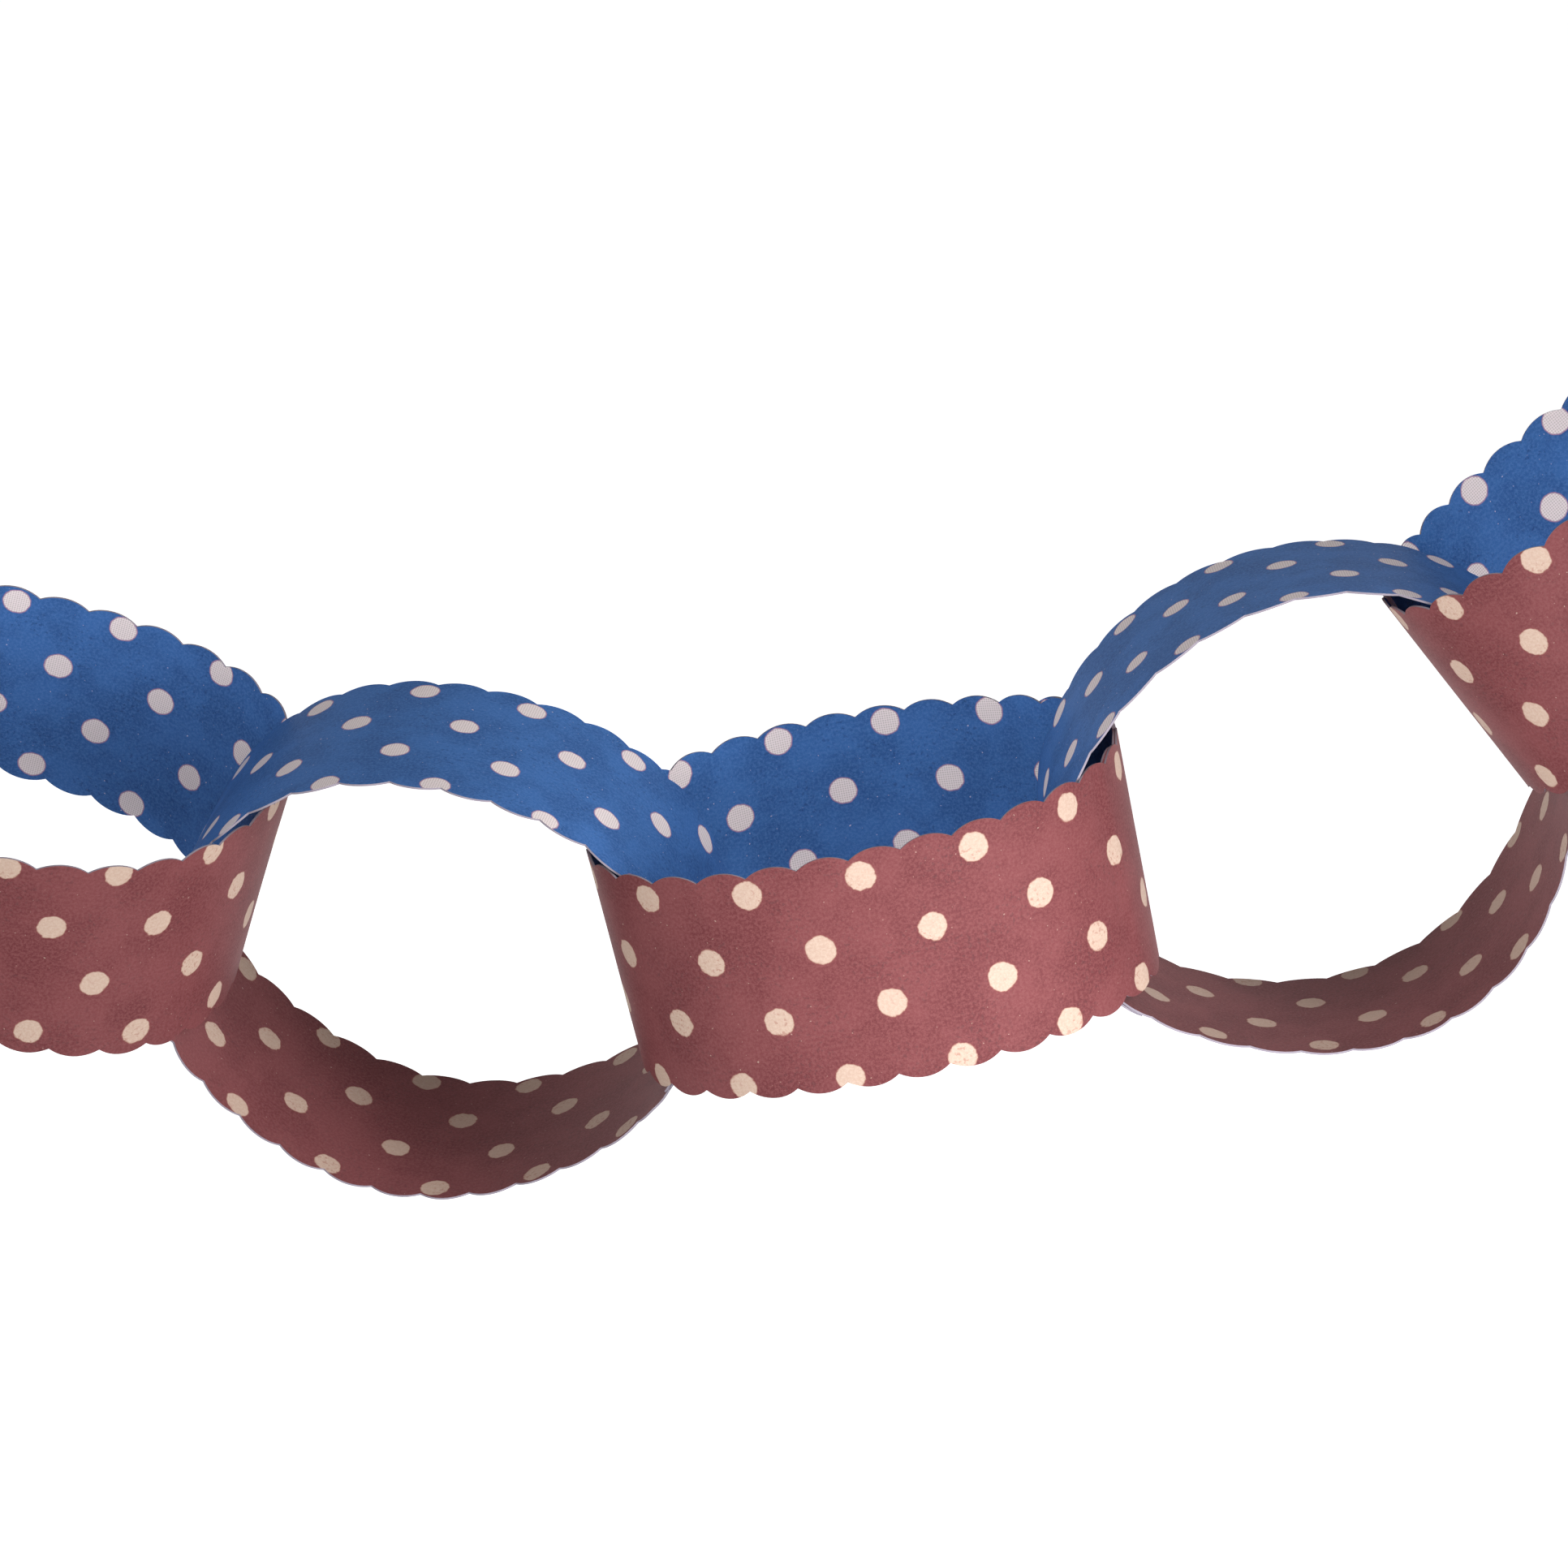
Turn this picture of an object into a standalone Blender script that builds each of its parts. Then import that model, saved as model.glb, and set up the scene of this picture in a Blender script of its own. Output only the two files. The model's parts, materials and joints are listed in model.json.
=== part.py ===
"""Paper chain garland: five interlocked links, each one glued strip of printed paper.

A strip has scalloped long edges. It is bent round a loop and its ends are glued in a lap, so a link
is one thin closed solid. Links lie as bands and stand as rings in turn. The middle link is placed
first, and each other link is drawn along the chain until it hangs in its neighbour.

World axes: X runs along the chain, Y away from the viewer, Z up.
"""

import math
from dataclasses import dataclass

import bpy
import numpy as np
from mathutils import Euler, Vector
from mathutils.bvhtree import BVHTree

MM = 0.001

# The paper strip, the same for every link
SCALLOP_COUNT = 35
SCALLOP_LENGTH = 6.25 * MM
SCALLOP_DEPTH = 1.0 * MM
STRIP_WIDTH = 29.4 * MM
PAPER_THICKNESS = 0.25 * MM
GUM_THICKNESS = 0.05 * MM
LAP_RISE_LENGTH = 3.0 * MM

STRIP_LENGTH = SCALLOP_COUNT * SCALLOP_LENGTH

# What stays free between two links where one hangs in the other
LINK_CLEARANCE = 0.35 * MM
SEAT_TOLERANCE = 0.01 * MM
SEAT_STEPS = 80
LOOSE_SHARE = 0.6

# The end link that the chain is hung by
HUNG_LINK = "link_5"

# Fineness of the mesh and of the measured loop
COLUMNS_PER_SCALLOP = 6
LOOP_SAMPLES = 720

# The two printed sides and the cut edge, as linear colours
MAROON = (0.22, 0.058, 0.06)
BLUE = (0.03, 0.085, 0.24)
CUT_EDGE = (0.72, 0.69, 0.74)
PAPER_ROUGHNESS = 0.7


@dataclass(frozen=True)
class Link:
    """One link: where it hangs, how it is turned, and how its loop is bent. Angles in degrees."""

    name: str
    blue_outside: bool
    # The neighbour that it hangs in, and the direction from that one's centre to its own
    hangs_in: str
    run_climb: float
    run_yaw: float
    # The turn of the loop: a band lies at a lean near 0, a ring stands at a lean near 90
    lean: float
    climb: float
    yaw: float
    # The loop's width over its length, then its departures from an ellipse
    aspect: float
    egg: float
    sag: float
    square: float
    skew: float
    pinch: float
    twist: float
    # Waves of the strip's middle line out of the loop's plane, two and three to a turn
    two_wave: tuple
    three_wave: tuple
    # The glued lap, and how far round from the loop's right-hand end the strip starts
    lap: float
    start: float


LINKS = (
    Link(
        name="link_3", blue_outside=False,
        hangs_in="", run_climb=0.0, run_yaw=0.0,
        lean=-3.2, climb=12.1, yaw=-1.7,
        aspect=0.805, egg=0.004, sag=-0.01,
        square=-0.016, skew=0.006, pinch=0.0, twist=0.0,
        two_wave=(-0.1 * MM, -0.3 * MM), three_wave=(0.0, 0.0),
        lap=32.0 * MM, start=-9.2 * MM,
    ),
    Link(
        name="link_2", blue_outside=True,
        hangs_in="link_3", run_climb=-9.5, run_yaw=173.7,
        lean=93.6, climb=-1.5, yaw=-9.8,
        aspect=0.84, egg=0.006, sag=0.004,
        square=0.008, skew=0.002, pinch=-0.006, twist=-0.008,
        two_wave=(0.1 * MM, -0.1 * MM), three_wave=(0.0, 0.0),
        lap=25.6 * MM, start=-11.1 * MM,
    ),
    Link(
        name="link_1", blue_outside=False,
        hangs_in="link_2", run_climb=14.8, run_yaw=173.1,
        lean=10.6, climb=-16.1, yaw=-3.8,
        aspect=0.785, egg=-0.026, sag=0.024,
        square=-0.01, skew=0.0, pinch=0.0, twist=0.0,
        two_wave=(0.1 * MM, -0.1 * MM), three_wave=(0.0, -0.2 * MM),
        lap=17.5 * MM, start=98.4 * MM,
    ),
    Link(
        name="link_4", blue_outside=True,
        hangs_in="link_3", run_climb=13.0, run_yaw=2.1,
        lean=82.9, climb=25.6, yaw=4.5,
        aspect=0.87, egg=-0.006, sag=0.016,
        square=0.01, skew=0.004, pinch=0.002, twist=-0.002,
        two_wave=(0.1 * MM, 0.0), three_wave=(0.1 * MM, 0.0),
        lap=30.1 * MM, start=89.6 * MM,
    ),
    Link(
        name="link_5", blue_outside=False,
        hangs_in="link_4", run_climb=37.8, run_yaw=6.0,
        lean=-10.7, climb=38.7, yaw=4.9,
        aspect=0.76, egg=0.022, sag=0.0,
        square=-0.012, skew=0.0, pinch=0.0, twist=0.0,
        two_wave=(0.1 * MM, -0.2 * MM), three_wave=(0.0, 0.0),
        lap=17.1 * MM, start=-0.1 * MM,
    ),
)


class Loop:
    """A link's middle line, bent to shape and measured along its length."""

    def __init__(self, link):
        self.link = link
        self.perimeter = STRIP_LENGTH - link.lap
        self.angles = np.linspace(0.0, 2.0 * math.pi, LOOP_SAMPLES + 1)
        outline = self.unit_outline(self.angles)
        steps = np.linalg.norm(np.diff(outline, axis=0), axis=1)
        self.half_length = self.perimeter / steps.sum()
        self.distances = np.concatenate([[0.0], np.cumsum(steps)]) * self.half_length

    def unit_outline(self, angle):
        """The loop in its plane, for a half-length of about 1."""
        link = self.link
        radius = (
            1.0
            + link.egg * np.cos(3.0 * angle)
            + link.sag * np.sin(3.0 * angle)
            + link.square * np.cos(4.0 * angle)
            + link.skew * np.sin(4.0 * angle)
            + link.pinch * np.cos(5.0 * angle)
            + link.twist * np.sin(5.0 * angle)
        )
        return np.stack([radius * np.cos(angle), link.aspect * radius * np.sin(angle)], axis=-1)

    def wave(self, angle, order):
        """The middle line's height over the loop's plane, or its first or second derivative."""
        height = np.zeros_like(angle)
        for count, (even, odd) in ((2, self.link.two_wave), (3, self.link.three_wave)):
            phase = count * angle + order * math.pi / 2.0
            height += count**order * (even * np.cos(phase) + odd * np.sin(phase))
        return height

    def surface(self, distance, across, lift):
        """Points of the paper: along the strip, across it and lifted off the loop."""
        angle = np.interp(np.mod(distance, self.perimeter), self.distances, self.angles)
        nudge = 2.0 * math.pi / LOOP_SAMPLES
        middle = self.unit_outline(angle) * self.half_length
        tangent = self.unit_outline(angle + nudge) - self.unit_outline(angle - nudge)
        tangent /= np.linalg.norm(tangent, axis=-1, keepdims=True)
        outward = np.stack([tangent[..., 1], -tangent[..., 0]], axis=-1)

        # Paper doesn't stretch, so a wave in its middle line also turns it across its width
        bend = 2.0 * math.pi / self.perimeter
        slide = -bend * self.wave(angle, 1)[..., None]
        flare = bend * self.wave(angle, 2)[..., None]
        rule = np.concatenate([slide * tangent + flare * outward, np.ones_like(flare)], axis=-1)
        rule /= np.linalg.norm(rule, axis=-1, keepdims=True)
        normal = np.concatenate([outward, -flare], axis=-1)
        normal /= np.linalg.norm(normal, axis=-1, keepdims=True)

        centre = np.concatenate([middle, self.wave(angle, 0)[..., None]], axis=-1)
        return centre + across[..., None] * rule + lift[..., None] * normal


def scalloped_half_width(along):
    """Half the strip's width at a distance from its end: circular arcs between sharp valleys."""
    half_chord = SCALLOP_LENGTH / 2.0
    radius = (half_chord**2 + SCALLOP_DEPTH**2) / (2.0 * SCALLOP_DEPTH)
    off_centre = np.mod(along, SCALLOP_LENGTH) - half_chord
    arc = np.sqrt(radius**2 - off_centre**2) - (radius - SCALLOP_DEPTH)
    return STRIP_WIDTH / 2.0 - SCALLOP_DEPTH + arc


def lap_lift(along, perimeter):
    """Height of the strip over the loop: its far end climbs onto the near one and stays there."""
    share = np.clip((along - perimeter + LAP_RISE_LENGTH) / LAP_RISE_LENGTH, 0.0, 1.0)
    return (PAPER_THICKNESS + GUM_THICKNESS) * share * share * (3.0 - 2.0 * share)


def make_material(name, colour):
    """A plain paper material."""
    material = bpy.data.materials.new(name)
    material.use_nodes = True
    material.diffuse_color = (*colour, 1.0)
    shader = material.node_tree.nodes["Principled BSDF"]
    shader.inputs["Base Color"].default_value = (*colour, 1.0)
    shader.inputs["Roughness"].default_value = PAPER_ROUGHNESS
    shader.inputs["Metallic"].default_value = 0.0
    return material


def make_strip(link):
    """Bend a flat grid round the link's loop and give it the paper's thickness."""
    loop = Loop(link)
    bpy.ops.mesh.primitive_grid_add(
        x_subdivisions=SCALLOP_COUNT * COLUMNS_PER_SCALLOP, y_subdivisions=1, size=1.0
    )
    strip = bpy.context.object
    strip.name = link.name
    strip.data.name = link.name

    flat = np.empty(len(strip.data.vertices) * 3)
    strip.data.vertices.foreach_get("co", flat)
    flat = flat.reshape(-1, 3)
    along = (flat[:, 0] + 0.5) * STRIP_LENGTH
    side = np.sign(flat[:, 1])
    # The ends are cut straight, through a valley
    across = side * scalloped_half_width(along)
    bent = loop.surface(link.start + along, across, lap_lift(along, loop.perimeter))
    strip.data.vertices.foreach_set("co", bent.ravel())
    strip.data.shade_smooth()

    sides = [("blue", BLUE), ("maroon", MAROON)]
    if not link.blue_outside:
        sides.reverse()
    for side_name, colour in sides:
        strip.data.materials.append(make_material(f"{link.name} {side_name}", colour))
    strip.data.materials.append(make_material(f"{link.name} cut edge", CUT_EDGE))

    solid = strip.modifiers.new("Paper", "SOLIDIFY")
    solid.thickness = PAPER_THICKNESS
    solid.offset = 0.0
    solid.use_even_offset = True
    solid.material_offset = 1
    solid.material_offset_rim = 2

    strip.rotation_euler = Euler(
        (math.radians(link.lean), math.radians(-link.climb), math.radians(link.yaw))
    )
    return strip, loop


def run_direction(link):
    """Unit vector from the neighbour's centre towards this link's."""
    climb = math.radians(link.run_climb)
    yaw = math.radians(link.run_yaw)
    flat = math.cos(climb)
    return Vector((flat * math.cos(yaw), flat * math.sin(yaw), math.sin(climb)))


def measured_solid(strip):
    """The strip's corners and a search tree of its faces, both in its own frame."""
    bpy.context.view_layer.update()
    evaluated = strip.evaluated_get(bpy.context.evaluated_depsgraph_get())
    mesh = evaluated.to_mesh()
    corners = [vertex.co.copy() for vertex in mesh.vertices]
    faces = [tuple(polygon.vertices) for polygon in mesh.polygons]
    evaluated.to_mesh_clear()
    return corners, BVHTree.FromPolygons(corners, faces)


def placing(strip):
    """The strip's matrix from its own location and rotation."""
    matrix = strip.rotation_euler.to_matrix().to_4x4()
    matrix.translation = strip.location
    return matrix


def least_gap(strip, other, solids):
    """Least distance between two links, from each one's corners to the other's faces."""
    least = STRIP_LENGTH
    for moving, fixed in ((strip, other), (other, strip)):
        corners, _ = solids[moving.name]
        _, tree = solids[fixed.name]
        change = placing(fixed).inverted() @ placing(moving)
        for corner in corners:
            hit = tree.find_nearest(change @ corner, least)
            if hit[3] is not None:
                least = min(least, hit[3])
    return least


def hang(strip, neighbour, link, loops, solids):
    """Start loosely hooked in the neighbour, then draw the link out until only the clearance is left."""
    direction = run_direction(link)
    reach = loops[strip.name].half_length + loops[neighbour.name].half_length
    strip.location = neighbour.location + direction * (reach * LOOSE_SHARE)
    for _ in range(SEAT_STEPS):
        spare = least_gap(strip, neighbour, solids) - LINK_CLEARANCE
        if spare < SEAT_TOLERANCE:
            break
        strip.location += direction * spare


def build_chain():
    """Make every link, hang each in its neighbour and gather them in one collection."""
    for old in list(bpy.data.objects):
        bpy.data.objects.remove(old, do_unlink=True)
    collection = bpy.data.collections.new("paper_chain_garland")
    bpy.context.scene.collection.children.link(collection)
    chain = bpy.data.objects.new("paper_chain", None)
    collection.objects.link(chain)

    strips = {}
    loops = {}
    solids = {}
    for link in LINKS:
        strip, loop = make_strip(link)
        for holder in list(strip.users_collection):
            holder.objects.unlink(strip)
        collection.objects.link(strip)
        strip.parent = chain
        strips[link.name] = strip
        loops[link.name] = loop
        solids[link.name] = measured_solid(strip)
        if link.hangs_in:
            hang(strip, strips[link.hangs_in], link, loops, solids)

    # The origin is where a thread would hold the chain: inside the far bend of its upper end link
    zero = np.zeros(1)
    bend = loops[HUNG_LINK].surface(zero, zero, zero - PAPER_THICKNESS / 2.0)[0]
    chain.location = -(placing(strips[HUNG_LINK]) @ Vector(bend))
    bpy.context.view_layer.update()


build_chain()
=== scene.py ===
"""Paper chain garland: five interlocked links of dotted craft paper with scalloped edges.

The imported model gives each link's place. This script dresses the chain in printed paper, and sets
up the camera, the pale floor and the soft lamps.
"""

import json
import math

import bpy
from mathutils import Euler, Matrix, Vector

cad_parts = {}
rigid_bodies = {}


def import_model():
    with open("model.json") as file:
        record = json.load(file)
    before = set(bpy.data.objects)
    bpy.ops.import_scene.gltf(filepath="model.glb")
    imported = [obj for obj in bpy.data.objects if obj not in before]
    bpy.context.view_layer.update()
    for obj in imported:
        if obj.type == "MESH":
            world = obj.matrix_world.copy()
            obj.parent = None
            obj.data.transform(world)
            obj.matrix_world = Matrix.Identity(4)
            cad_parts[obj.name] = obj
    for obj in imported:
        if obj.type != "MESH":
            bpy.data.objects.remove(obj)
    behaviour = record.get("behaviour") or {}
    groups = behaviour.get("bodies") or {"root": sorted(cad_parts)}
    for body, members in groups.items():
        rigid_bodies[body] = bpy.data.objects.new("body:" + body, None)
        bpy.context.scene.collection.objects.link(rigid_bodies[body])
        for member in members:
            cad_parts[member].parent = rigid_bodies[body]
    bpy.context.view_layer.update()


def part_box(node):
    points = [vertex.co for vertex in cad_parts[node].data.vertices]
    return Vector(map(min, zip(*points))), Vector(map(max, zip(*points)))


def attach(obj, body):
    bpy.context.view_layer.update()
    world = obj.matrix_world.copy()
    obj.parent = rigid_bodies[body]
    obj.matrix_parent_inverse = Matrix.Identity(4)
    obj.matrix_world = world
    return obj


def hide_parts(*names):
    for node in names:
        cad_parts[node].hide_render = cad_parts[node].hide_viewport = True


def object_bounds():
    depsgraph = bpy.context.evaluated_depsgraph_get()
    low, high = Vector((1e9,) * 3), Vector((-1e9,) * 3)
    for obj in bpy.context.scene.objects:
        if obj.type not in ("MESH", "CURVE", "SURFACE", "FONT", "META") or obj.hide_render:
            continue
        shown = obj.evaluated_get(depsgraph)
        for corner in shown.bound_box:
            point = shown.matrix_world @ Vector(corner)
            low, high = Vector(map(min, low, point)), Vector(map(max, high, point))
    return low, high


for old in list(bpy.data.objects):
    bpy.data.objects.remove(old, do_unlink=True)

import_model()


# The camera: a long lens held a little above the chain and looking along +Y, so that one looks down
# into the lying links and through the standing ones.

MM = 0.001
VIEW_TARGET = Vector((-136.7, -9.0, -55.7)) * MM
VIEW_DISTANCE = 769.2 * MM
VIEW_DOWN = math.radians(23.09)
VIEW_ROLL = math.radians(0.12)
SENSOR_WIDTH = 36.0
LENS_LENGTH = 145.8
NEAREST_SEEN = 0.01
FARTHEST_SEEN = 20.0

camera_data = bpy.data.cameras.new("view camera")
camera_data.sensor_width = SENSOR_WIDTH
camera_data.lens = LENS_LENGTH
camera_data.clip_start = NEAREST_SEEN
camera_data.clip_end = FARTHEST_SEEN
camera = bpy.data.objects.new("view camera", camera_data)
bpy.context.scene.collection.objects.link(camera)
view_direction = Vector((0.0, math.cos(VIEW_DOWN), -math.sin(VIEW_DOWN)))
camera.location = VIEW_TARGET - VIEW_DISTANCE * view_direction
camera.rotation_euler = (
    view_direction.to_track_quat("-Z", "Y").to_matrix() @ Matrix.Rotation(VIEW_ROLL, 3, "Z")
).to_euler()
bpy.context.scene.camera = camera


# The paper links: strips of thin craft paper, printed with dots on both sides and cut with
# scalloped edges. Each strip is bent round a loop through its neighbour and its ends are glued in
# a lap.

SCALLOP_COUNT = 35
SCALLOP_LENGTH = 6.25 * MM
SCALLOP_DEPTH = 1.0 * MM
STRIP_WIDTH = 29.4 * MM
PAPER_THICKNESS = 0.25 * MM
GUM_THICKNESS = 0.05 * MM
LAP_RISE_LENGTH = 3.0 * MM

# The slow unevenness of hand-bent paper, and how far a cut wanders from its line
BUCKLE_HEIGHT = 0.16 * MM
BUCKLE_LENGTH = 24.0 * MM
BUCKLE_SHARE_ACROSS = 0.5
CUT_WANDER = 0.05 * MM
CUT_WANDER_SCALE = 260.0

# Fineness of the mesh
COLUMNS_PER_SCALLOP = 12
ROWS = 10
OUTLINE_POINTS = 721
SHARP_EDGE_ANGLE = math.radians(50.0)

# The print: rows of dots along the strip, every other row shifted by half a column. Each dot is a
# little off its place and size, and its edge has fine rags on slower lobes.
DOT_DIAMETER = 3.55 * MM
DOT_COLUMN = 13.7 * MM
DOT_ROW = 8.27 * MM
DOT_SHIFT = 0.3 * MM
DOT_SIZE_SPREAD = 0.05
CREAM_RAGGEDNESS = 0.17 * MM
PINK_RAGGEDNESS = 0.09 * MM
DOT_SOFTNESS = 0.06 * MM
RAG_SCALE = 1700.0
LOBE_SCALE = 700.0
LOBE_STRENGTH = 1.5
RIM_WIDTH = 2.2

# The pale dots' canvas mesh
MESH_WAVE = 2.0 * math.pi / (0.60 * MM)
MESH_GRAIN = 0.8
MESH_TURN = (0.30, 0.95)
MESH_STRENGTH = 0.65

# The ink's unevenness. A turn is the stretch of a noise over which one colour gives way to another.
CLOUD_SCALE = 90.0
BLUE_CLOUD_SCALE = 120.0
CLOUD_TURN = (0.38, 0.62)
GRAIN_SCALE = 2600.0
GRAIN_TURN = (0.40, 0.62)
BLUE_GRAIN_TURN = (0.40, 0.64)
GRAIN_STRENGTH = 0.55
SMUDGE_SCALE = 140.0
SMUDGE_TURN = (0.45, 0.60)
SPECK_OUTSIDE_SMUDGE = 0.03
DARK_SPECK_SCALE = 1900.0
DARK_SPECK_SHARE = 0.44
BLUE_DARK_SPECK_SHARE = 0.42
DARK_SPECK_SOFTNESS = 0.07
PALE_SPECK_SCALE = 2200.0
PALE_SPECK_SHARE = 0.25
PALE_SPECK_SOFTNESS = 0.04
BUMP_HEIGHT = 0.05 * MM
BUMP_GRAIN = 0.6

# Craft paper is matt: it bends light little at its skin
PAPER_IOR = 1.15

# Colours of the inks and the paper in linear light
MAROON_INK = (0.172, 0.050, 0.054)
MAROON_DARK = (0.128, 0.033, 0.037)
MAROON_PALE = (0.235, 0.083, 0.086)
SPECK_BROWN = (0.060, 0.036, 0.038)
CREAM = (0.54, 0.41, 0.335)
CREAM_DARK = (0.49, 0.35, 0.28)
CREAM_SPECK = (0.32, 0.13, 0.10)
BLUE_INK = (0.050, 0.150, 0.41)
BLUE_DARK = (0.034, 0.105, 0.30)
BLUE_PALE = (0.095, 0.220, 0.53)
SPECK_NAVY = (0.012, 0.024, 0.060)
PINK_GREY = (0.93, 0.82, 0.82)
MESH_GREY = (0.52, 0.44, 0.42)
PINK_RIM = (0.42, 0.20, 0.32)
EDGE_PAPER = (0.30, 0.265, 0.315)


class Wire:
    """A number in a node tree, joined to others by ordinary arithmetic."""

    def __init__(self, tree, socket):
        self.tree = tree
        self.socket = socket

    def math(self, operation, *others):
        node = self.tree.nodes.new("ShaderNodeMath")
        node.operation = operation
        for place, value in enumerate((self, *others)):
            connect(self.tree, value, node.inputs[place])
        return Wire(self.tree, node.outputs[0])

    def __add__(self, other):
        return self.math("ADD", other)

    def __sub__(self, other):
        return self.math("SUBTRACT", other)

    def __rsub__(self, other):
        return self.math("MULTIPLY", -1.0).math("ADD", other)

    def __mul__(self, other):
        return self.math("MULTIPLY", other)

    def __truediv__(self, other):
        return self.math("DIVIDE", other)

    def __neg__(self):
        return self.math("MULTIPLY", -1.0)

    def between(self, low, high):
        """0 below low, 1 above high and smooth in between."""
        node = self.tree.nodes.new("ShaderNodeMapRange")
        node.interpolation_type = "SMOOTHSTEP"
        for name, value in (("Value", self), ("From Min", low), ("From Max", high)):
            connect(self.tree, value, node.inputs[name])
        return Wire(self.tree, node.outputs["Result"])


class Arrow:
    """A vector in a node tree."""

    def __init__(self, tree, socket):
        self.tree = tree
        self.socket = socket

    def math(self, operation, other=None):
        node = self.tree.nodes.new("ShaderNodeVectorMath")
        node.operation = operation
        connect(self.tree, self, node.inputs[0])
        if other is not None:
            connect(self.tree, other, node.inputs[3 if operation == "SCALE" else 1])
        return Arrow(self.tree, node.outputs[0])

    def __add__(self, other):
        return self.math("ADD", other)

    def __mul__(self, factor):
        return self.math("SCALE", factor)

    def unit(self):
        return self.math("NORMALIZE")

    def parts(self):
        node = self.tree.nodes.new("ShaderNodeSeparateXYZ")
        connect(self.tree, self, node.inputs[0])
        return [Wire(self.tree, socket) for socket in node.outputs]


def connect(tree, value, socket):
    """Join a wire to a socket, or write a plain value on it."""
    if isinstance(value, (Wire, Arrow)):
        tree.links.new(value.socket, socket)
    else:
        socket.default_value = value


def vector(tree, x, y, z=0.0):
    """A vector from three numbers."""
    node = tree.nodes.new("ShaderNodeCombineXYZ")
    for place, value in enumerate((x, y, z)):
        connect(tree, value, node.inputs[place])
    return Arrow(tree, node.outputs[0])


def noise(tree, place, scale, detail=2.0, roughness=0.5):
    """Smooth noise from 0 to 1 at a place."""
    node = tree.nodes.new("ShaderNodeTexNoise")
    node.inputs["Detail"].default_value = detail
    node.inputs["Roughness"].default_value = roughness
    connect(tree, scale, node.inputs["Scale"])
    connect(tree, place, node.inputs["Vector"])
    return Wire(tree, node.outputs[0])


def wander(tree, place, scale, detail=2.0, roughness=0.5):
    """Smooth noise from -1 to 1 at a place."""
    return (noise(tree, place, scale, detail, roughness) - 0.5) * 2.0


def add_inputs(tree, entries):
    """Give a tree its named inputs and return them as wires."""
    for name, kind, value in entries:
        socket = tree.interface.new_socket(name=name, in_out="INPUT", socket_type=kind)
        if value is not None:
            socket.default_value = value
    entry = tree.nodes.new("NodeGroupInput")
    wires = {}
    for name, kind, _ in entries:
        made = Arrow if kind == "NodeSocketVector" else Wire
        wires[name] = made(tree, entry.outputs[name])
    return wires


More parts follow.
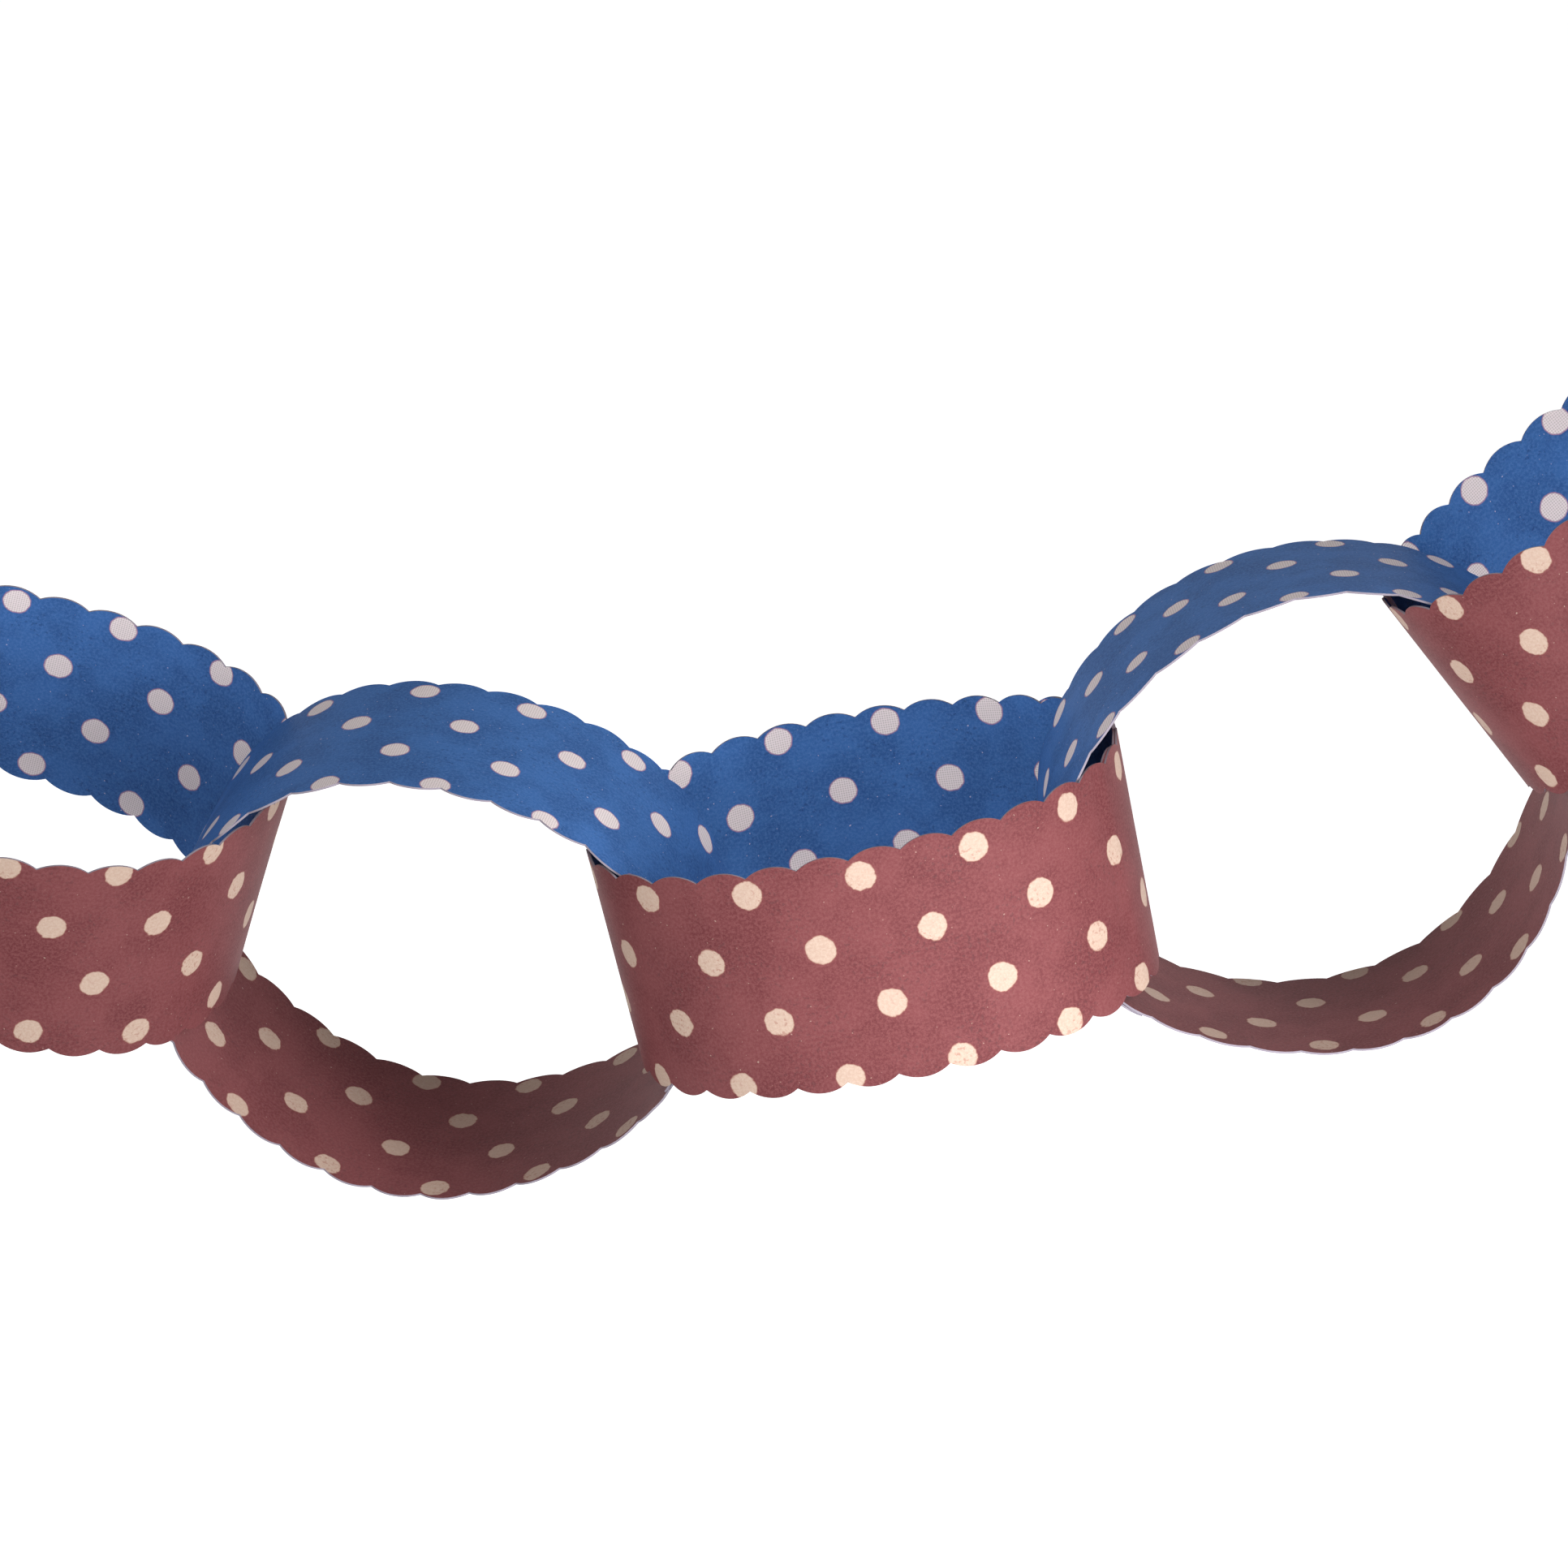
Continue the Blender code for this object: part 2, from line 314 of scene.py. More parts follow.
def make_link_tree():
    """Bend a flat printed plate with scalloped edges round a loop."""
    tree = bpy.data.node_groups.new("Scalloped paper link", "GeometryNodeTree")
    tree.interface.new_socket(name="Geometry", in_out="OUTPUT", socket_type="NodeSocketGeometry")
    number = "NodeSocketFloat"
    given = add_inputs(
        tree,
        (
            ("Scallop Count", "NodeSocketInt", SCALLOP_COUNT),
            ("Columns per Scallop", "NodeSocketInt", COLUMNS_PER_SCALLOP),
            ("Rows", "NodeSocketInt", ROWS),
            ("Outline Points", "NodeSocketInt", OUTLINE_POINTS),
            ("Scallop Length", number, SCALLOP_LENGTH),
            ("Scallop Depth", number, SCALLOP_DEPTH),
            ("Strip Width", number, STRIP_WIDTH),
            ("Paper Thickness", number, PAPER_THICKNESS),
            ("Gum Thickness", number, GUM_THICKNESS),
            ("Lap Rise Length", number, LAP_RISE_LENGTH),
            ("Buckle Height", number, BUCKLE_HEIGHT),
            ("Buckle Length", number, BUCKLE_LENGTH),
            ("Cut Wander", number, CUT_WANDER),
            ("Seed", number, 0.0),
            ("Lap", number, 20.0 * MM),
            ("Start", number, 0.0),
            ("Aspect", number, 0.75),
            ("Egg", number, 0.0),
            ("Sag", number, 0.0),
            ("Square", number, 0.0),
            ("Skew", number, 0.0),
            ("Pinch", number, 0.0),
            ("Twist", number, 0.0),
            ("Two Wave", "NodeSocketVector", (0.0, 0.0, 0.0)),
            ("Three Wave", "NodeSocketVector", (0.0, 0.0, 0.0)),
            ("Outer Print Shift", "NodeSocketVector", (0.0, 0.0, 0.0)),
            ("Inner Print Shift", "NodeSocketVector", (0.0, 0.0, 0.0)),
            ("Turn", "NodeSocketRotation", None),
            ("Outer Print", "NodeSocketMaterial", None),
            ("Inner Print", "NodeSocketMaterial", None),
            ("Cut Edge", "NodeSocketMaterial", None),
        ),
    )
    strip_length = given["Scallop Count"] * given["Scallop Length"]
    perimeter = strip_length - given["Lap"]

    # The loop's outline, first for a half-length of about 1
    line = tree.nodes.new("GeometryNodeCurvePrimitiveLine")
    resample = tree.nodes.new("GeometryNodeResampleCurve")
    tree.links.new(line.outputs[0], resample.inputs["Curve"])
    connect(tree, given["Outline Points"], resample.inputs["Count"])
    index = Wire(tree, tree.nodes.new("GeometryNodeInputIndex").outputs[0])
    point_angle = index * (2.0 * math.pi) / (given["Outline Points"] - 1.0)
    radius = (
        given["Egg"] * (point_angle * 3.0).math("COSINE")
        + given["Sag"] * (point_angle * 3.0).math("SINE")
        + given["Square"] * (point_angle * 4.0).math("COSINE")
        + given["Skew"] * (point_angle * 4.0).math("SINE")
        + given["Pinch"] * (point_angle * 5.0).math("COSINE")
        + given["Twist"] * (point_angle * 5.0).math("SINE")
        + 1.0
    )
    outline = tree.nodes.new("GeometryNodeSetPosition")
    tree.links.new(resample.outputs[0], outline.inputs["Geometry"])
    outline_place = vector(
        tree,
        radius * point_angle.math("COSINE"),
        given["Aspect"] * radius * point_angle.math("SINE"),
    )
    connect(tree, outline_place, outline.inputs["Position"])

    # Scaled so that the strip goes round it once, less the lap
    measure = tree.nodes.new("GeometryNodeCurveLength")
    tree.links.new(outline.outputs[0], measure.inputs[0])
    scale = perimeter / Wire(tree, measure.outputs[0])
    sized = tree.nodes.new("GeometryNodeTransform")
    tree.links.new(outline.outputs[0], sized.inputs["Geometry"])
    connect(tree, vector(tree, scale, scale, scale), sized.inputs["Scale"])

    # A flat plate, with its printed sides told apart by their normals
    plate = tree.nodes.new("GeometryNodeMeshCube")
    plate.inputs["Size"].default_value = (1.0, 1.0, 1.0)
    columns = given["Scallop Count"] * given["Columns per Scallop"]
    connect(tree, columns + 1.0, plate.inputs["Vertices X"])
    connect(tree, given["Rows"] + 1.0, plate.inputs["Vertices Y"])
    plate.inputs["Vertices Z"].default_value = 2
    sides = tree.nodes.new("GeometryNodeCaptureAttribute")
    sides.domain = "FACE"
    sides.capture_items.new("FLOAT", "Side")
    tree.links.new(plate.outputs["Mesh"], sides.inputs["Geometry"])
    facing = Arrow(tree, tree.nodes.new("GeometryNodeInputNormal").outputs[0]).parts()[2]
    connect(tree, facing, sides.inputs["Side"])
    side = Wire(tree, sides.outputs["Side"])
    is_outer = side.math("GREATER_THAN", 0.5)
    is_inner = side.math("LESS_THAN", -0.5)

    # Distances along the strip, across it and through the paper
    flat = Arrow(tree, tree.nodes.new("GeometryNodeInputPosition").outputs[0]).parts()
    along = (flat[0] + 0.5) * strip_length
    half_chord = given["Scallop Length"] * 0.5
    depth = given["Scallop Depth"]
    arc_radius = (half_chord * half_chord + depth * depth) / (depth * 2.0)
    off_centre = along.math("FLOORED_MODULO", given["Scallop Length"]) - half_chord
    arc = (arc_radius * arc_radius - off_centre * off_centre).math("SQRT")
    arc = arc - (arc_radius - depth)
    share = flat[1] * 2.0
    cut_place = vector(tree, along, share.math("SIGN") * 0.5, given["Seed"])
    cut_error = wander(tree, cut_place, CUT_WANDER_SCALE) * given["Cut Wander"]
    across = share * (given["Strip Width"] * 0.5 - depth + arc + cut_error)
    rise = (along - perimeter + given["Lap Rise Length"]) / given["Lap Rise Length"]
    step = given["Paper Thickness"] + given["Gum Thickness"]
    lift = rise.between(0.0, 1.0) * step + flat[2] * given["Paper Thickness"]
    buckle_place = vector(
        tree,
        along / given["Buckle Length"],
        across / given["Buckle Length"] * BUCKLE_SHARE_ACROSS,
        given["Seed"],
    )
    lift = lift + wander(tree, buckle_place, 1.0, 1.0) * given["Buckle Height"]

    # The print's own coordinates
    outer_shift = given["Outer Print Shift"] * is_outer
    inner_shift = given["Inner Print Shift"] * is_inner
    print_place = vector(tree, along, across) + outer_shift + inner_shift
    printed = tree.nodes.new("GeometryNodeStoreNamedAttribute")
    printed.data_type = "FLOAT2"
    printed.domain = "CORNER"
    printed.inputs["Name"].default_value = "UVMap"
    tree.links.new(sides.outputs["Geometry"], printed.inputs["Geometry"])
    connect(tree, print_place, printed.inputs["Value"])

    # Where each point comes to lie on the loop
    sample = tree.nodes.new("GeometryNodeSampleCurve")
    sample.mode = "LENGTH"
    sample.data_type = "FLOAT"
    tree.links.new(sized.outputs[0], sample.inputs["Curves"])
    connect(tree, point_angle, sample.inputs["Value"])
    connect(
        tree,
        (given["Start"] + along).math("FLOORED_MODULO", perimeter),
        sample.inputs["Length"],
    )
    angle = Wire(tree, sample.outputs["Value"])
    middle = Arrow(tree, sample.outputs["Position"])
    tangent = Arrow(tree, sample.outputs["Tangent"])
    tangent_parts = tangent.parts()
    outward = vector(tree, tangent_parts[1], -tangent_parts[0])

    # Waves of the middle line out of the loop's plane. Paper doesn't stretch, so a wave also turns
    # the strip across its width.
    heights = [0.0, 0.0, 0.0]
    for count, name in ((2.0, "Two Wave"), (3.0, "Three Wave")):
        even, odd, _ = given[name].parts()
        cosine = (angle * count).math("COSINE")
        sine = (angle * count).math("SINE")
        heights[0] = even * cosine + odd * sine + heights[0]
        heights[1] = (odd * cosine - even * sine) * count + heights[1]
        heights[2] = -(even * cosine + odd * sine) * count**2 + heights[2]
    bend = perimeter.math("POWER", -1.0) * (2.0 * math.pi)
    slide = -(bend * heights[1])
    flare = bend * heights[2]
    upright = vector(tree, 0.0, 0.0, 1.0)
    rule = (tangent * slide + outward * flare + upright).unit()
    normal = (outward + upright * -flare).unit()
    bent_place = middle + upright * heights[0] + rule * across + normal * lift
    bent = tree.nodes.new("GeometryNodeSetPosition")
    tree.links.new(printed.outputs[0], bent.inputs["Geometry"])
    connect(tree, bent_place, bent.inputs["Position"])

    turned = tree.nodes.new("GeometryNodeTransform")
    tree.links.new(bent.outputs[0], turned.inputs["Geometry"])
    connect(tree, given["Turn"], turned.inputs["Rotation"])
    smooth = tree.nodes.new("GeometryNodeSetShadeSmooth")
    tree.links.new(turned.outputs[0], smooth.inputs["Geometry"])
    last = tree.nodes.new("GeometryNodeRealizeInstances")
    tree.links.new(smooth.outputs[0], last.inputs["Geometry"])
    for name, chosen in (("Cut Edge", None), ("Outer Print", is_outer), ("Inner Print", is_inner)):
        paint = tree.nodes.new("GeometryNodeSetMaterial")
        tree.links.new(last.outputs[0], paint.inputs["Geometry"])
        if chosen is not None:
            connect(tree, chosen, paint.inputs["Selection"])
        connect(tree, given[name], paint.inputs["Material"])
        last = paint
    leave = tree.nodes.new("NodeGroupOutput")
    tree.links.new(last.outputs[0], leave.inputs[0])
    return tree


def make_dot_group():
    """Staggered rows of dots with slightly ragged edges."""
    tree = bpy.data.node_groups.new("Printed dots", "ShaderNodeTree")
    for name in ("Dot", "Rim"):
        tree.interface.new_socket(name=name, in_out="OUTPUT", socket_type="NodeSocketFloat")
    given = add_inputs(
        tree,
        (
            ("Place", "NodeSocketVector", (0.0, 0.0, 0.0)),
            ("Column", "NodeSocketFloat", DOT_COLUMN),
            ("Row", "NodeSocketFloat", DOT_ROW),
            ("Diameter", "NodeSocketFloat", DOT_DIAMETER),
            ("Raggedness", "NodeSocketFloat", CREAM_RAGGEDNESS),
            ("Softness", "NodeSocketFloat", DOT_SOFTNESS),
        ),
    )
    parts = given["Place"].parts()
    row_place = parts[1] / given["Row"]
    row = row_place.math("ROUND")
    stagger = row.math("FLOORED_MODULO", 2.0) * 0.5
    column_place = parts[0] / given["Column"] - stagger
    column = column_place.math("ROUND")
    cell = tree.nodes.new("ShaderNodeTexWhiteNoise")
    cell.noise_dimensions = "2D"
    connect(tree, vector(tree, column, row), cell.inputs["Vector"])
    luck = Arrow(tree, cell.outputs["Color"]).parts()
    across = (column_place - column) * given["Column"] + (luck[0] - 0.5) * DOT_SHIFT
    down = (row_place - row) * given["Row"] + (luck[1] - 0.5) * DOT_SHIFT
    distance = (across * across + down * down).math("SQRT")
    rags = wander(tree, given["Place"], RAG_SCALE, 3.0, 0.6) * given["Raggedness"]
    lobes = wander(tree, given["Place"], LOBE_SCALE, 1.0) * given["Raggedness"]
    distance = distance + rags + lobes * LOBE_STRENGTH
    radius = given["Diameter"] * 0.5 * ((luck[2] - 0.5) * DOT_SIZE_SPREAD + 1.0)
    dot = 1.0 - distance.between(radius - given["Softness"], radius + given["Softness"])
    off_rim = (distance - radius).math("ABSOLUTE") / (given["Softness"] * RIM_WIDTH)
    rim = 1.0 - off_rim.between(0.3, 1.0)
    leave = tree.nodes.new("NodeGroupOutput")
    connect(tree, dot, leave.inputs["Dot"])
    connect(tree, rim, leave.inputs["Rim"])
    return tree


def make_ground_group():
    """The unevenness of ink on craft paper: clouds, fibre grain, and dark and pale specks."""
    tree = bpy.data.node_groups.new("Craft paper ink", "ShaderNodeTree")
    for name in ("Cloud", "Grain", "Dark Specks", "Pale Specks"):
        tree.interface.new_socket(name=name, in_out="OUTPUT", socket_type="NodeSocketFloat")
    given = add_inputs(
        tree,
        (
            ("Place", "NodeSocketVector", (0.0, 0.0, 0.0)),
            ("Cloud Scale", "NodeSocketFloat", CLOUD_SCALE),
            ("Grain Scale", "NodeSocketFloat", GRAIN_SCALE),
            ("Dark Speck Share", "NodeSocketFloat", DARK_SPECK_SHARE),
            ("Pale Speck Share", "NodeSocketFloat", PALE_SPECK_SHARE),
        ),
    )
    place = given["Place"]
    cloud = noise(tree, place, given["Cloud Scale"], 5.0, 0.62)
    grain = noise(tree, place, given["Grain Scale"], 4.0, 0.8)
    smudge_place = place + vector(tree, 0.3, 0.7)
    smudge = noise(tree, smudge_place, SMUDGE_SCALE).between(*SMUDGE_TURN)
    share = given["Dark Speck Share"]
    dark = noise(tree, place, DARK_SPECK_SCALE, 2.0, 0.6)
    dark = 1.0 - dark.between(share - DARK_SPECK_SOFTNESS, share)
    dark = dark * (smudge * (1.0 - SPECK_OUTSIDE_SMUDGE) + SPECK_OUTSIDE_SMUDGE)
    share = given["Pale Speck Share"]
    pale_place = place + vector(tree, 0.5, 0.5)
    pale = noise(tree, pale_place, PALE_SPECK_SCALE, 1.0)
    pale = 1.0 - pale.between(share - PALE_SPECK_SOFTNESS, share)
    leave = tree.nodes.new("NodeGroupOutput")
    connect(tree, cloud, leave.inputs["Cloud"])
    connect(tree, grain, leave.inputs["Grain"])
    connect(tree, dark, leave.inputs["Dark Specks"])
    connect(tree, pale, leave.inputs["Pale Specks"])
    return tree


def use_group(tree, group, place, **values):
    """Place a node group in a material with its own values."""
    node = tree.nodes.new("ShaderNodeGroup")
    node.node_tree = group
    connect(tree, place, node.inputs["Place"])
    for name, value in values.items():
        connect(tree, value, node.inputs[name.replace("_", " ")])
    return {socket.name: Wire(tree, socket) for socket in node.outputs}


def blend_colour(tree, share, first, second):
    """Mix two colours by a share."""
    node = tree.nodes.new("ShaderNodeMix")
    node.data_type = "RGBA"
    connect(tree, share, node.inputs[0])
    for socket, colour in ((node.inputs[6], first), (node.inputs[7], second)):
        if isinstance(colour, tuple):
            socket.default_value = (*colour, 1.0)
        else:
            tree.links.new(colour, socket)
    return node.outputs[2]


def start_material(name, roughness, gloss):
    """A matt paper material."""
    material = bpy.data.materials.new(name)
    material.use_nodes = True
    tree = material.node_tree
    shader = tree.nodes["Principled BSDF"]
    shader.inputs["Roughness"].default_value = roughness
    shader.inputs["IOR"].default_value = PAPER_IOR
    shader.inputs["Specular IOR Level"].default_value = gloss
    return material, tree, shader


def strip_place(tree):
    """The place on the print: metres along and across the strip."""
    node = tree.nodes.new("ShaderNodeUVMap")
    node.uv_map = "UVMap"
    return Arrow(tree, node.outputs[0])


def print_ink(tree, ink, dark, plain, pale, grain_turn):
    """Ink in clouds of a darker tone, with pale fibre grain."""
    colour = blend_colour(tree, ink["Cloud"].between(*CLOUD_TURN), dark, plain)
    return blend_colour(tree, ink["Grain"].between(*grain_turn) * GRAIN_STRENGTH, colour, pale)


def finish_print(tree, shader, ink, colour):
    """Give a printed side its colour and the relief of its grain."""
    tree.links.new(colour, shader.inputs["Base Color"])
    node = tree.nodes.new("ShaderNodeBump")
    node.inputs["Strength"].default_value = 1.0
    node.inputs["Distance"].default_value = BUMP_HEIGHT
    connect(tree, ink["Grain"] * BUMP_GRAIN + ink["Cloud"], node.inputs["Height"])
    tree.links.new(node.outputs[0], shader.inputs["Normal"])


def make_maroon_print(dots, ground):
    """The maroon side: a dusty satin ink with cream dots of bare paper."""
    material, tree, shader = start_material("Maroon dotted print", roughness=0.52, gloss=0.5)
    place = strip_place(tree)
    ink = use_group(tree, ground, place)
    spots = use_group(tree, dots, place)
    colour = print_ink(tree, ink, MAROON_DARK, MAROON_INK, MAROON_PALE, GRAIN_TURN)
    colour = blend_colour(tree, ink["Dark Specks"] * 0.3, colour, SPECK_BROWN)
    colour = blend_colour(tree, ink["Pale Specks"] * 0.5, colour, CREAM)
    bare = blend_colour(tree, ink["Grain"].between(*GRAIN_TURN), CREAM_DARK, CREAM)
    bare = blend_colour(tree, ink["Dark Specks"] * 0.5, bare, CREAM_SPECK)
    colour = blend_colour(tree, spots["Dot"], colour, bare)
    colour = blend_colour(tree, spots["Rim"] * 0.35, colour, CREAM_SPECK)
    finish_print(tree, shader, ink, colour)
    return material


def make_blue_print(dots, ground):
    """The blue side: a denim blue ink with pale dots that show a fine mesh and a thin pink rim."""
    material, tree, shader = start_material("Blue dotted print", roughness=0.55, gloss=0.4)
    place = strip_place(tree)
    ink = use_group(
        tree, ground, place, Cloud_Scale=BLUE_CLOUD_SCALE, Dark_Speck_Share=BLUE_DARK_SPECK_SHARE
    )
    spots = use_group(tree, dots, place, Raggedness=PINK_RAGGEDNESS)
    colour = print_ink(tree, ink, BLUE_DARK, BLUE_INK, BLUE_PALE, BLUE_GRAIN_TURN)
    colour = blend_colour(tree, ink["Dark Specks"] * 0.35, colour, SPECK_NAVY)
    colour = blend_colour(tree, ink["Pale Specks"] * 0.5, colour, PINK_GREY)

    # The dots' mesh: two sets of fine lines across each other
    along, across, _ = place.parts()
    one = ((along + across) * MESH_WAVE).math("SINE")
    other = ((along - across) * MESH_WAVE).math("SINE")
    gaps = (one * other + ink["Grain"] * MESH_GRAIN).between(*MESH_TURN)
    mesh_dot = blend_colour(tree, gaps * MESH_STRENGTH, PINK_GREY, MESH_GREY)
    colour = blend_colour(tree, spots["Dot"], colour, mesh_dot)
    colour = blend_colour(tree, spots["Rim"] * 0.7, colour, PINK_RIM)
    finish_print(tree, shader, ink, colour)
    return material


def make_cut_edge():
    """The bare core of the paper where it is cut."""
    material, _, shader = start_material("Cut paper edge", roughness=0.8, gloss=0.2)
    shader.inputs["Base Color"].default_value = (*EDGE_PAPER, 1.0)
    return material


dot_group = make_dot_group()
ground_group = make_ground_group()
maroon_print = make_maroon_print(dot_group, ground_group)
blue_print = make_blue_print(dot_group, ground_group)
cut_edge = make_cut_edge()
link_tree = make_link_tree()

# How each link's loop is bent and turned, its lap, where its strip starts, and where its two prints
# lie on the strip. Lengths are in millimetres and angles in degrees. Link 2's lap is two scallops
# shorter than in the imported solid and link 4's begins two scallops earlier, so that both laps lie
# out of view as in the photograph.
LINKS = {
    "link_1": dict(
        blue_outside=False, turn=(10.6, -16.1, -3.8),
        aspect=0.785, egg=-0.026, sag=0.024, square=-0.01, skew=0.0, pinch=0.0, twist=0.0,
        two_wave=(0.1, -0.1), three_wave=(0.0, -0.2), lap=17.5, start=98.4, scallops=35,
        outer_shift=(-11.0, -5.1), inner_shift=(-1.4, -4.4), seed=1.7,
    ),
    "link_2": dict(
        blue_outside=True, turn=(93.6, -1.5, -9.8),
        aspect=0.84, egg=0.006, sag=0.004, square=0.008, skew=0.002, pinch=-0.006, twist=-0.008,
        two_wave=(0.1, -0.1), three_wave=(0.0, 0.0), lap=13.1, start=-11.1, scallops=33,
        outer_shift=(-2.2, 3.3), inner_shift=(-6.9, 4.2), seed=4.2,
    ),
    "link_3": dict(
        blue_outside=False, turn=(-3.2, 12.1, -1.7),
        aspect=0.805, egg=0.004, sag=-0.01, square=-0.016, skew=0.006, pinch=0.0, twist=0.0,
        two_wave=(-0.1, -0.3), three_wave=(0.0, 0.0), lap=32.0, start=-9.2, scallops=35,
        outer_shift=(-0.4, -11.7), inner_shift=(-4.7, -4.3), seed=7.9,
    ),
    "link_4": dict(
        blue_outside=True, turn=(82.9, 25.6, 4.5),
        aspect=0.87, egg=-0.006, sag=0.016, square=0.01, skew=0.004, pinch=0.002, twist=-0.002,
        two_wave=(0.1, 0.0), three_wave=(0.1, 0.0), lap=30.1, start=77.1, scallops=35,
        outer_shift=(-13.0, 3.9), inner_shift=(-25.7, 5.0), seed=11.3,
    ),
    "link_5": dict(
        blue_outside=False, turn=(-10.7, 38.7, 4.9),
        aspect=0.76, egg=0.022, sag=0.0, square=-0.012, skew=0.0, pinch=0.0, twist=0.0,
        two_wave=(0.1, -0.2), three_wave=(0.0, 0.0), lap=17.1, start=-0.1, scallops=35,
        outer_shift=(-12.4, -12.9), inner_shift=(-2.8, -12.9), seed=15.1,
    ),
}

identifiers = {
    item.name: item.identifier
    for item in link_tree.interface.items_tree
    if item.item_type == "SOCKET" and item.in_out == "INPUT"
}

for name, link in LINKS.items():
    outer, inner = maroon_print, blue_print
    if link["blue_outside"]:
        outer, inner = blue_print, maroon_print
    lean, climb, yaw = (math.radians(value) for value in link["turn"])
    values = {
        "Scallop Count": link["scallops"],
        "Seed": link["seed"],
        "Lap": link["lap"] * MM,
        "Start": link["start"] * MM,
        "Aspect": link["aspect"],
        "Egg": link["egg"],
        "Sag": link["sag"],
        "Square": link["square"],
        "Skew": link["skew"],
        "Pinch": link["pinch"],
        "Twist": link["twist"],
        "Two Wave": [value * MM for value in (*link["two_wave"], 0.0)],
        "Three Wave": [value * MM for value in (*link["three_wave"], 0.0)],
        "Outer Print Shift": [value * MM for value in (*link["outer_shift"], 0.0)],
        "Inner Print Shift": [value * MM for value in (*link["inner_shift"], 0.0)],
        "Turn": Euler((lean, -climb, yaw)),
        "Outer Print": outer,
        "Inner Print": inner,
        "Cut Edge": cut_edge,
    }
    holder = bpy.data.objects.new("holder", bpy.data.meshes.new("holder"))
    bpy.context.scene.collection.objects.link(holder)
    shape = holder.modifiers.new("Link", "NODES")
    shape.node_group = link_tree
    for input_name, value in values.items():
        shape[identifiers[input_name]] = value
    bpy.context.view_layer.update()
    evaluated = holder.evaluated_get(bpy.context.evaluated_depsgraph_get())
    mesh = bpy.data.meshes.new_from_object(evaluated)
    bpy.data.objects.remove(holder, do_unlink=True)
    mesh.name = name + "_paper"
    mesh.set_sharp_from_angle(angle=SHARP_EDGE_ANGLE)

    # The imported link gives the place: the two boxes share their middle
    corners = [vertex.co for vertex in mesh.vertices]
    middle = Vector(
        (min(corner[axis] for corner in corners) + max(corner[axis] for corner in corners)) / 2.0
        for axis in range(3)
    )
    low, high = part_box(name)
    mesh.transform(Matrix.Translation((low + high) / 2.0 - middle))
    paper = bpy.data.objects.new(name + "_paper", mesh)
    bpy.context.scene.collection.objects.link(paper)
    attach(paper, "root")
    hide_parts(name)


# The floor and the light: a pale floor well below the hanging chain, a white surround, and soft
# lamps that light the paper at a plain level.

FLOOR_DROP = 260.0 * MM
FLOOR_SIZE = 6.0
FLOOR_COLOUR = (0.85, 0.85, 0.85)
FLOOR_ROUGHNESS = 0.9
FLOOR_GLOW = 0.9
WHITE = (1.0, 1.0, 1.0, 1.0)
SURROUND_LIGHT = 0.05


def seen_directly(tree):
    """1 for what the camera sees, directly, in gloss or through something clear, else 0."""
    path = tree.nodes.new("ShaderNodeLightPath")
    camera_ray = Wire(tree, path.outputs["Is Camera Ray"])
    glossy_ray = Wire(tree, path.outputs["Is Glossy Ray"])
    clear_ray = Wire(tree, path.outputs["Is Transmission Ray"])
    return camera_ray.math("MAXIMUM", glossy_ray).math("MAXIMUM", clear_ray)


# The floor is pale and takes shadows. A glow that only the camera sees makes it white in the
# picture.
floor_paint = bpy.data.materials.new("Pale floor")
floor_paint.use_nodes = True
floor_tree = floor_paint.node_tree
floor_shader = floor_tree.nodes["Principled BSDF"]
floor_shader.inputs["Base Color"].default_value = (*FLOOR_COLOUR, 1.0)
floor_shader.inputs["Roughness"].default_value = FLOOR_ROUGHNESS
floor_shader.inputs["Emission Color"].default_value = WHITE
floor_glow = seen_directly(floor_tree) * FLOOR_GLOW
connect(floor_tree, floor_glow, floor_shader.inputs["Emission Strength"])

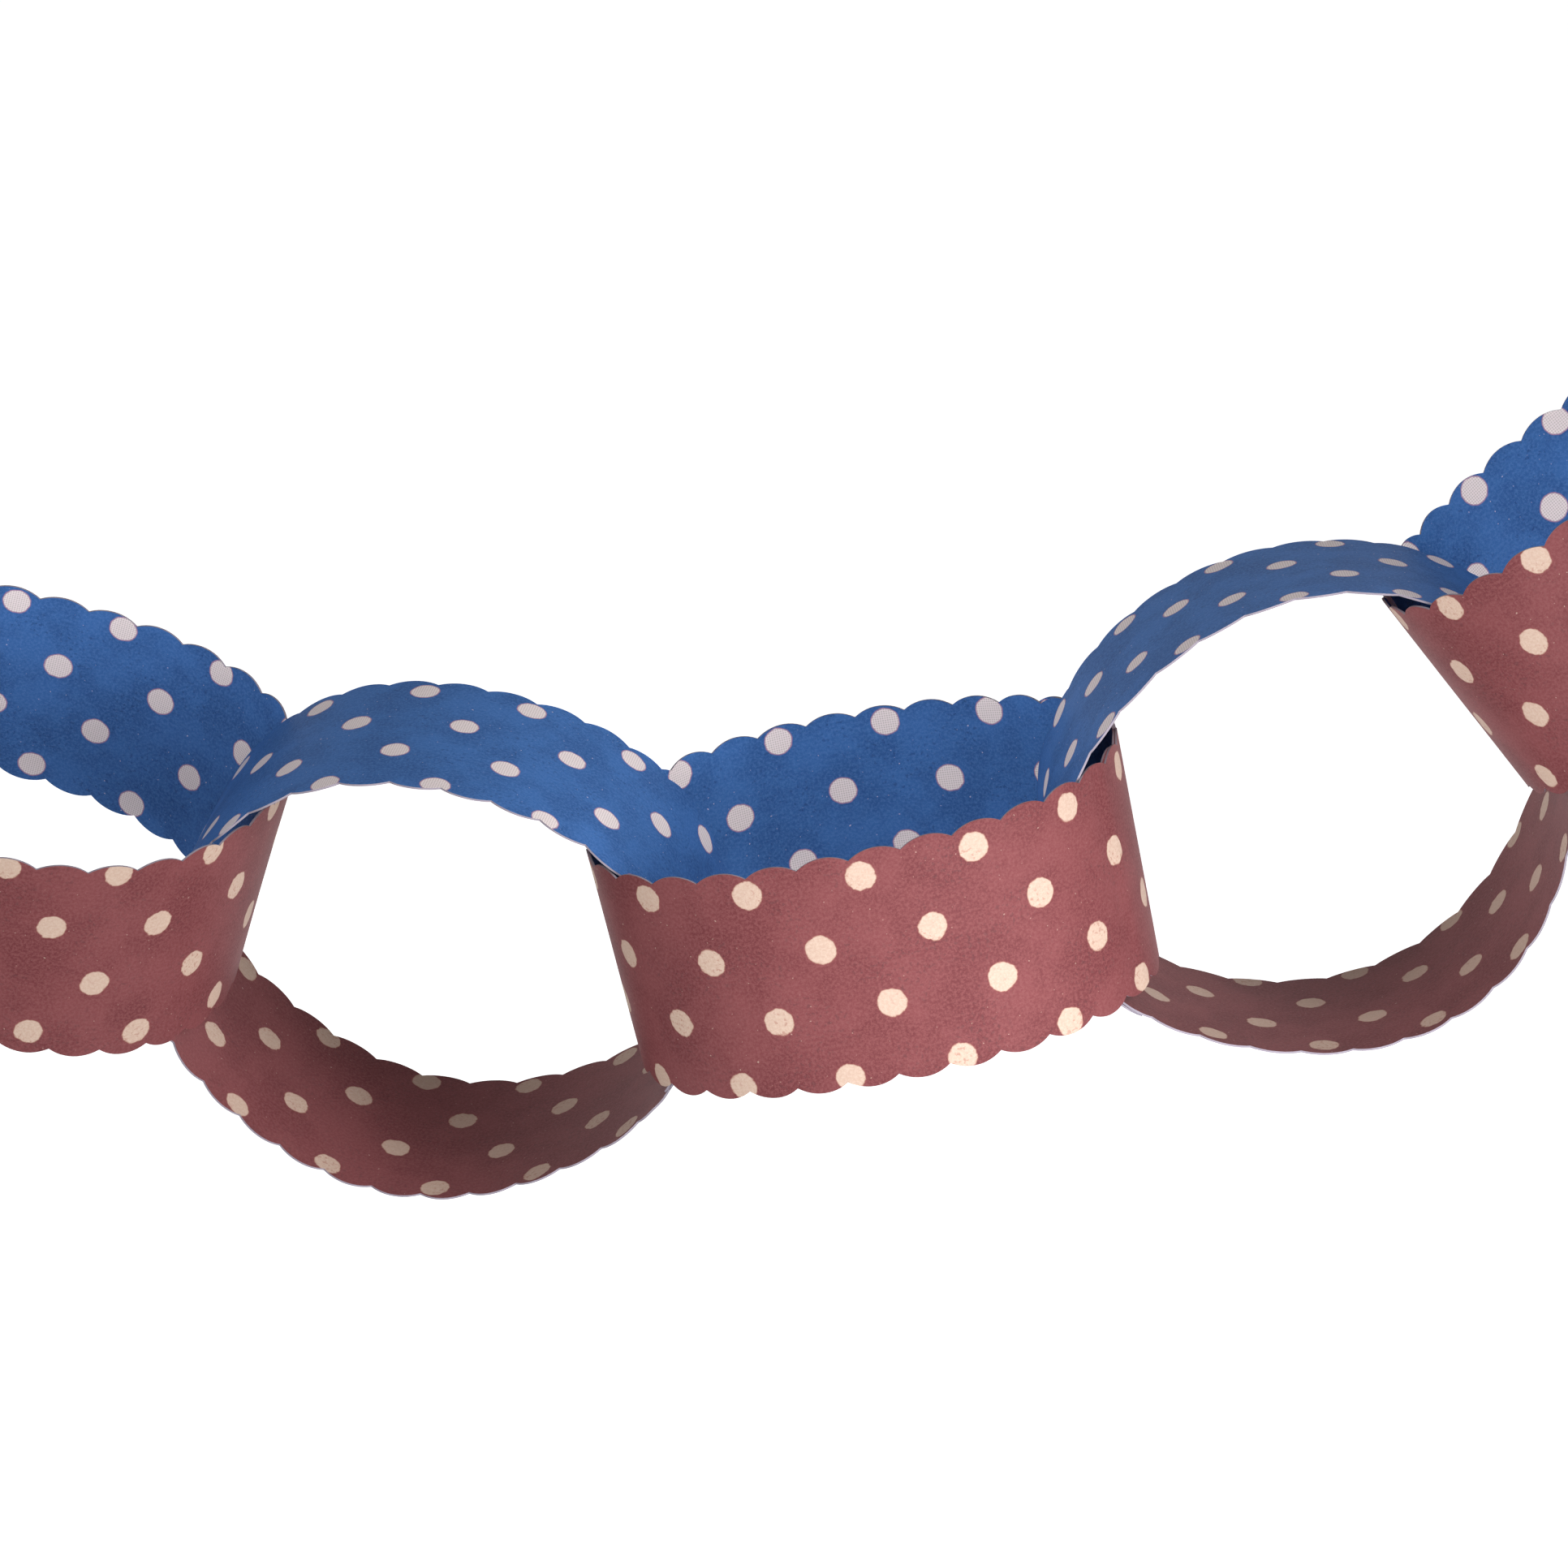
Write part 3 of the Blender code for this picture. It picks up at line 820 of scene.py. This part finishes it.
low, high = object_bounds()
bpy.ops.mesh.primitive_plane_add(size=FLOOR_SIZE)
floor = bpy.context.object
floor.name = "floor"
floor.location = ((low.x + high.x) / 2.0, (low.y + high.y) / 2.0, low.z - FLOOR_DROP)
floor.data.materials.append(floor_paint)

world = bpy.data.worlds.new("White surround")
world.use_nodes = True
bpy.context.scene.world = world
sky = world.node_tree
background = sky.nodes["Background"]
background.inputs["Color"].default_value = WHITE
background.inputs["Strength"].default_value = SURROUND_LIGHT
seen = sky.nodes.new("ShaderNodeBackground")
seen.inputs["Color"].default_value = WHITE
seen.inputs["Strength"].default_value = 1.0
choice = sky.nodes.new("ShaderNodeMixShader")
connect(sky, seen_directly(sky), choice.inputs[0])
sky.links.new(background.outputs[0], choice.inputs[1])
sky.links.new(seen.outputs[0], choice.inputs[2])
sky.links.new(choice.outputs[0], sky.nodes["World Output"].inputs["Surface"])

# Each lamp's place is from the point that the camera looks at, in metres. Its power is in watts.
LAMPS = {
    "high key": dict(place=(0.35, -0.25, 0.35), size=0.2, power=0.95),
    "right key": dict(place=(0.50, -0.35, 0.20), size=0.25, power=1.5),
    "near glow": dict(place=(0.05, -0.105, -0.02), size=0.08, power=0.095),
    "left softbox": dict(place=(-0.66, -0.59, 0.155), size=0.5, power=4.0),
    "right softbox": dict(place=(0.74, -0.59, 0.155), size=0.5, power=2.5),
    "front softbox": dict(place=(0.0, -0.89, 0.255), size=0.5, power=0.9),
    "top softbox": dict(place=(0.0, -0.19, 0.755), size=0.5, power=0.6),
    "back left softbox": dict(place=(-0.85, 0.30, 0.05), size=0.4, power=0.9),
    "back right softbox": dict(place=(0.85, 0.30, 0.05), size=0.4, power=0.9),
}
for name, lamp in LAMPS.items():
    light = bpy.data.lights.new(name, "AREA")
    light.shape = "SQUARE"
    light.size = lamp["size"]
    light.energy = lamp["power"]
    stand = bpy.data.objects.new(name, light)
    bpy.context.scene.collection.objects.link(stand)
    place = Vector(lamp["place"])
    stand.location = VIEW_TARGET + place
    stand.rotation_euler = (-place).to_track_quat("-Z", "Y").to_euler()

bpy.context.scene.view_settings.view_transform = "Standard"
